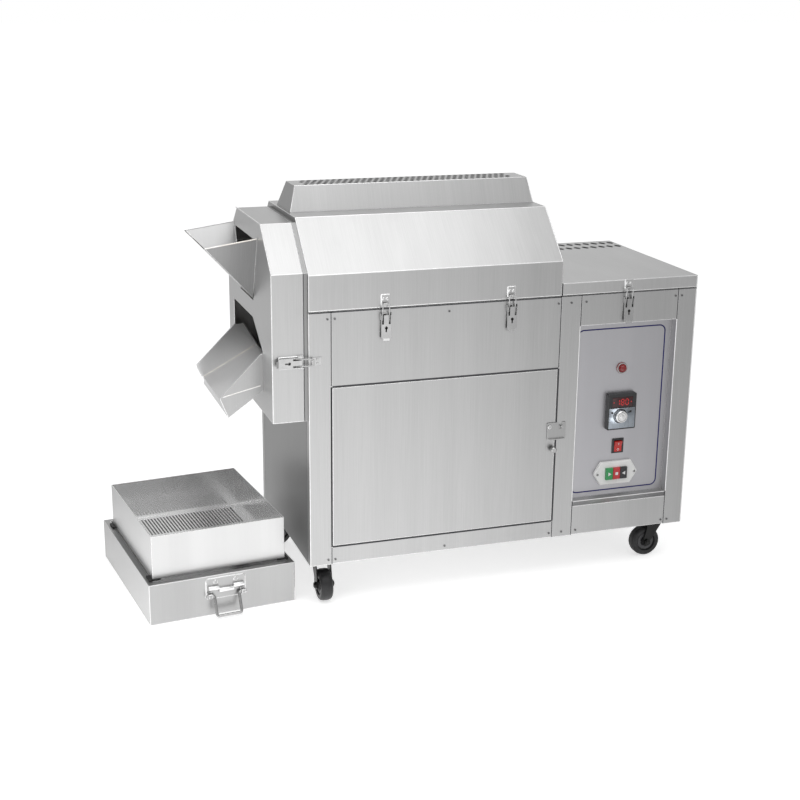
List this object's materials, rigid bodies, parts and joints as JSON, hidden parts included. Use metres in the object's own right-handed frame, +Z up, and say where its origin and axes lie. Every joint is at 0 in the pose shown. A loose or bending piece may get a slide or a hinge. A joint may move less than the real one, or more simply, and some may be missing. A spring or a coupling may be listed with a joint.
{
  "type": "electric drum roaster",
  "caption": "Floor-standing electric drum roaster with hinged hood, swinging end cover with hopper and chute, turning drum, control box and loose trays on swivel casters.",
  "frame": {"origin": "centre of the bounding box's underside, on the floor", "axes": "+X along the drum from the hopper to the control box, +Y from the front to the back, +Z up"},
  "size_m": [1.1458, 0.423, 0.7936],
  "materials": {
    "sheet": "brushed stainless sheet, number 4 grain",
    "bright_sheet": "brighter stainless sheet",
    "inner_sheet": "dull stainless sheet",
    "drum_steel": "stainless, tinted by heat",
    "heater": "oxidised heater sheath",
    "fibre": "ceramic fibre board",
    "panel": "satin film on sheet",
    "lens_red": "translucent red",
    "black": "fine moulded texture",
    "rocker_red": "translucent red",
    "knob_silver": "turned and satin",
    "station": "pale moulded plastic",
    "green": "moulded",
    "dark": "moulded",
    "red": "moulded",
    "gear": "moulded housings on a plated rail",
    "motor": "hammered paint",
    "cast": "painted casting",
    "shaft": "turned steel",
    "roller": "hardened steel, ground",
    "chrome": "plated",
    "zinc": "black zinc plate",
    "wheel": "solid rubber on a hard core",
    "pad": "moulded"
  },
  "bodies": {
    "cabinet": {"base_pan": "sheet", "frame_posts": "sheet", "frame_rails": "sheet", "front_panel": "sheet", "side_panels": "sheet", "back_panel": "sheet", "left_end_wall": "sheet", "drive_end_wall": "inner_sheet", "trough_liner": "inner_sheet", "insulation": "fibre", "heating_tubes": "heater", "control_panel": "panel", "pilot_light": "lens_red", "temperature_controller": "black", "rocker_bezel": "black", "button_station": "station", "control_gear": "gear", "gear_motor": "motor", "drum_bearing": "cast", "cable_gland": "black", "cabinet_fittings": "chrome", "panel_screws": "chrome"},
    "hood": {"hood_shell": "sheet", "vent_box": "sheet"},
    "lid": {"control_lid": "sheet"},
    "cover": {"end_cover": "sheet", "feed_hopper": "bright_sheet", "discharge_chute": "bright_sheet"},
    "door": {"door": "sheet", "door_knob": "chrome"},
    "catch": {"turn_catch": "chrome"},
    "drum": {"drum": "drum_steel", "drum_shaft": "shaft"},
    "front_roller": {"front_support_roller": "roller"},
    "rear_roller": {"rear_support_roller": "roller"},
    "knob": {"temperature_knob": "knob_silver"},
    "rocker": {"power_rocker": "rocker_red"},
    "start": {"start_button": "green"},
    "reverse": {"reverse_button": "dark"},
    "stop": {"stop_button": "red"},
    "tray": {"lower_tray": "bright_sheet"},
    "handle": {"carry_handle": "chrome"},
    "sieve": {"sieve_tray": "bright_sheet", "tray_feet": "pad"},
    "hood_latch_left_lever": {"hood_latch_left_lever": "chrome"},
    "hood_latch_left_bail": {"hood_latch_left_bail": "chrome"},
    "hood_latch_right_lever": {"hood_latch_right_lever": "chrome"},
    "hood_latch_right_bail": {"hood_latch_right_bail": "chrome"},
    "lid_latch_lever": {"lid_latch_lever": "chrome"},
    "lid_latch_bail": {"lid_latch_bail": "chrome"},
    "cover_latch_lever": {"cover_latch_lever": "chrome"},
    "cover_latch_bail": {"cover_latch_bail": "chrome"},
    "fork_front_left": {"caster_fork_front_left": "zinc"},
    "wheel_front_left": {"caster_wheel_front_left": "wheel"},
    "fork_front_right": {"caster_fork_front_right": "zinc"},
    "wheel_front_right": {"caster_wheel_front_right": "wheel"},
    "fork_rear_left": {"caster_fork_rear_left": "zinc"},
    "wheel_rear_left": {"caster_wheel_rear_left": "wheel"},
    "fork_rear_right": {"caster_fork_rear_right": "zinc"},
    "wheel_rear_right": {"caster_wheel_rear_right": "wheel"}
  },
  "joints": [
    {"name": "hood_hinge", "type": "hinge", "parent": "cabinet", "child": "hood", "pos_m": [-0.13713, 0.196, 0.5862], "axis": [-1, 0, 0], "range_deg": [0, 80]},
    {"name": "lid_hinge", "type": "hinge", "parent": "cabinet", "child": "lid", "pos_m": [0.34287, 0.196, 0.5862], "axis": [-1, 0, 0], "range_deg": [0, 85]},
    {"name": "cover_hinge", "type": "hinge", "parent": "cabinet", "child": "cover", "pos_m": [-0.23528, 0.179, 0.4256], "axis": [0, 0, -1], "range_deg": [0, 95]},
    {"name": "door_hinge", "type": "hinge", "parent": "cabinet", "child": "door", "pos_m": [-0.17873, -0.1951, 0.1236], "axis": [0, 0, -1], "range_deg": [0, 110]},
    {"name": "catch_pivot", "type": "hinge", "parent": "door", "child": "catch", "pos_m": [0.26287, -0.1995, 0.3226], "axis": [0, 1, 0], "range_deg": [0, 32]},
    {"name": "drum_spin", "type": "hinge", "parent": "cabinet", "child": "drum", "pos_m": [-0.22713, -0.0035, 0.5556], "axis": [1, 0, 0], "continuous": true},
    {"name": "front_roller_spin", "type": "hinge", "parent": "cabinet", "child": "front_roller", "pos_m": [-0.24213, -0.06763, 0.46402], "axis": [1, 0, 0], "continuous": true},
    {"name": "rear_roller_spin", "type": "hinge", "parent": "cabinet", "child": "rear_roller", "pos_m": [-0.24213, 0.06063, 0.46402], "axis": [1, 0, 0], "continuous": true},
    {"name": "temperature_turn", "type": "hinge", "parent": "cabinet", "child": "knob", "pos_m": [0.42237, -0.1985, 0.3286], "axis": [0, 1, 0], "range_deg": [0, 270]},
    {"name": "power_rock", "type": "hinge", "parent": "cabinet", "child": "rocker", "pos_m": [0.42637, -0.1755, 0.2616], "axis": [-1, 0, 0], "range_deg": [0, 18]},
    {"name": "start_press", "type": "slide", "parent": "cabinet", "child": "start", "axis": [0, 1, 0], "range_m": [0, 0.004], "stiffness_N_per_m": 200},
    {"name": "reverse_press", "type": "slide", "parent": "cabinet", "child": "reverse", "axis": [0, 1, 0], "range_m": [0, 0.004], "stiffness_N_per_m": 200},
    {"name": "stop_press", "type": "slide", "parent": "cabinet", "child": "stop", "axis": [0, 1, 0], "range_m": [0, 0.004], "stiffness_N_per_m": 200},
    {"name": "tray_pull", "type": "slide", "parent": "cabinet", "child": "tray", "axis": [-1, 0, 0], "range_m": [0, 0.25]},
    {"name": "carry_swing", "type": "hinge", "parent": "tray", "child": "handle", "pos_m": [-0.38677, -0.17684, 0.042], "axis": [-0.9945, -0.1045, 0], "range_deg": [0, 90]},
    {"name": "sieve_lift", "type": "slide", "parent": "tray", "child": "sieve", "axis": [0, 0, 1], "range_m": [0, 0.12]},
    {"name": "hood_latch_left_throw", "type": "hinge", "parent": "cabinet", "child": "hood_latch_left_lever", "pos_m": [-0.08013, -0.2035, 0.5716], "axis": [-1, 0, 0], "range_deg": [0, 120]},
    {"name": "hood_latch_left_bail_swing", "type": "hinge", "parent": "hood_latch_left_lever", "child": "hood_latch_left_bail", "pos_m": [-0.08013, -0.203, 0.5636], "axis": [-1, 0, 0], "range_deg": [-126, 0]},
    {"name": "hood_latch_right_throw", "type": "hinge", "parent": "cabinet", "child": "hood_latch_right_lever", "pos_m": [0.17237, -0.2035, 0.5716], "axis": [-1, 0, 0], "range_deg": [0, 120]},
    {"name": "hood_latch_right_bail_swing", "type": "hinge", "parent": "hood_latch_right_lever", "child": "hood_latch_right_bail", "pos_m": [0.17237, -0.203, 0.5636], "axis": [-1, 0, 0], "range_deg": [-126, 0]},
    {"name": "lid_latch_throw", "type": "hinge", "parent": "cabinet", "child": "lid_latch_lever", "pos_m": [0.42037, -0.2035, 0.5716], "axis": [-1, 0, 0], "range_deg": [0, 120]},
    {"name": "lid_latch_bail_swing", "type": "hinge", "parent": "lid_latch_lever", "child": "lid_latch_bail", "pos_m": [0.42037, -0.203, 0.5636], "axis": [-1, 0, 0], "range_deg": [-126, 0]},
    {"name": "cover_latch_throw", "type": "hinge", "parent": "cover", "child": "cover_latch_lever", "pos_m": [-0.24263, -0.1995, 0.4936], "axis": [0, 0, 1], "range_deg": [0, 120]},
    {"name": "cover_latch_bail_swing", "type": "hinge", "parent": "cover_latch_lever", "child": "cover_latch_bail", "pos_m": [-0.25063, -0.199, 0.4936], "axis": [0, 0, 1], "range_deg": [-126, 0]},
    {"name": "swivel_front_left", "type": "hinge", "parent": "cabinet", "child": "fork_front_left", "pos_m": [-0.19213, -0.1465, 0.0736], "axis": [0, 0, 1], "continuous": true},
    {"name": "roll_front_left", "type": "hinge", "parent": "fork_front_left", "child": "wheel_front_left", "pos_m": [-0.19213, -0.1665, 0.0315], "axis": [1, 0, 0], "continuous": true},
    {"name": "swivel_front_right", "type": "hinge", "parent": "cabinet", "child": "fork_front_right", "pos_m": [0.53787, -0.1465, 0.0736], "axis": [0, 0, 1], "continuous": true},
    {"name": "roll_front_right", "type": "hinge", "parent": "fork_front_right", "child": "wheel_front_right", "pos_m": [0.51787, -0.1465, 0.0315], "axis": [0, -1, 0], "continuous": true},
    {"name": "swivel_rear_left", "type": "hinge", "parent": "cabinet", "child": "fork_rear_left", "pos_m": [-0.19213, 0.1395, 0.0736], "axis": [0, 0, 1], "continuous": true},
    {"name": "roll_rear_left", "type": "hinge", "parent": "fork_rear_left", "child": "wheel_rear_left", "pos_m": [-0.21093, 0.13266, 0.0315], "axis": [0.342, -0.9397, 0], "continuous": true},
    {"name": "swivel_rear_right", "type": "hinge", "parent": "cabinet", "child": "fork_rear_right", "pos_m": [0.53787, 0.1395, 0.0736], "axis": [0, 0, 1], "continuous": true},
    {"name": "roll_rear_right", "type": "hinge", "parent": "fork_rear_right", "child": "wheel_rear_right", "pos_m": [0.53787, 0.1595, 0.0315], "axis": [-1, 0, 0], "continuous": true}
  ],
  "couplings": [
    {"joint": "front_roller_spin", "follows": "drum_spin", "ratio": -6.4333},
    {"joint": "rear_roller_spin", "follows": "drum_spin", "ratio": -6.4333},
    {"joint": "hood_latch_left_bail_swing", "follows": "hood_latch_left_throw", "ratio": -1.05},
    {"joint": "hood_latch_right_bail_swing", "follows": "hood_latch_right_throw", "ratio": -1.05},
    {"joint": "lid_latch_bail_swing", "follows": "lid_latch_throw", "ratio": -1.05},
    {"joint": "cover_latch_bail_swing", "follows": "cover_latch_throw", "ratio": -1.05}
  ]
}
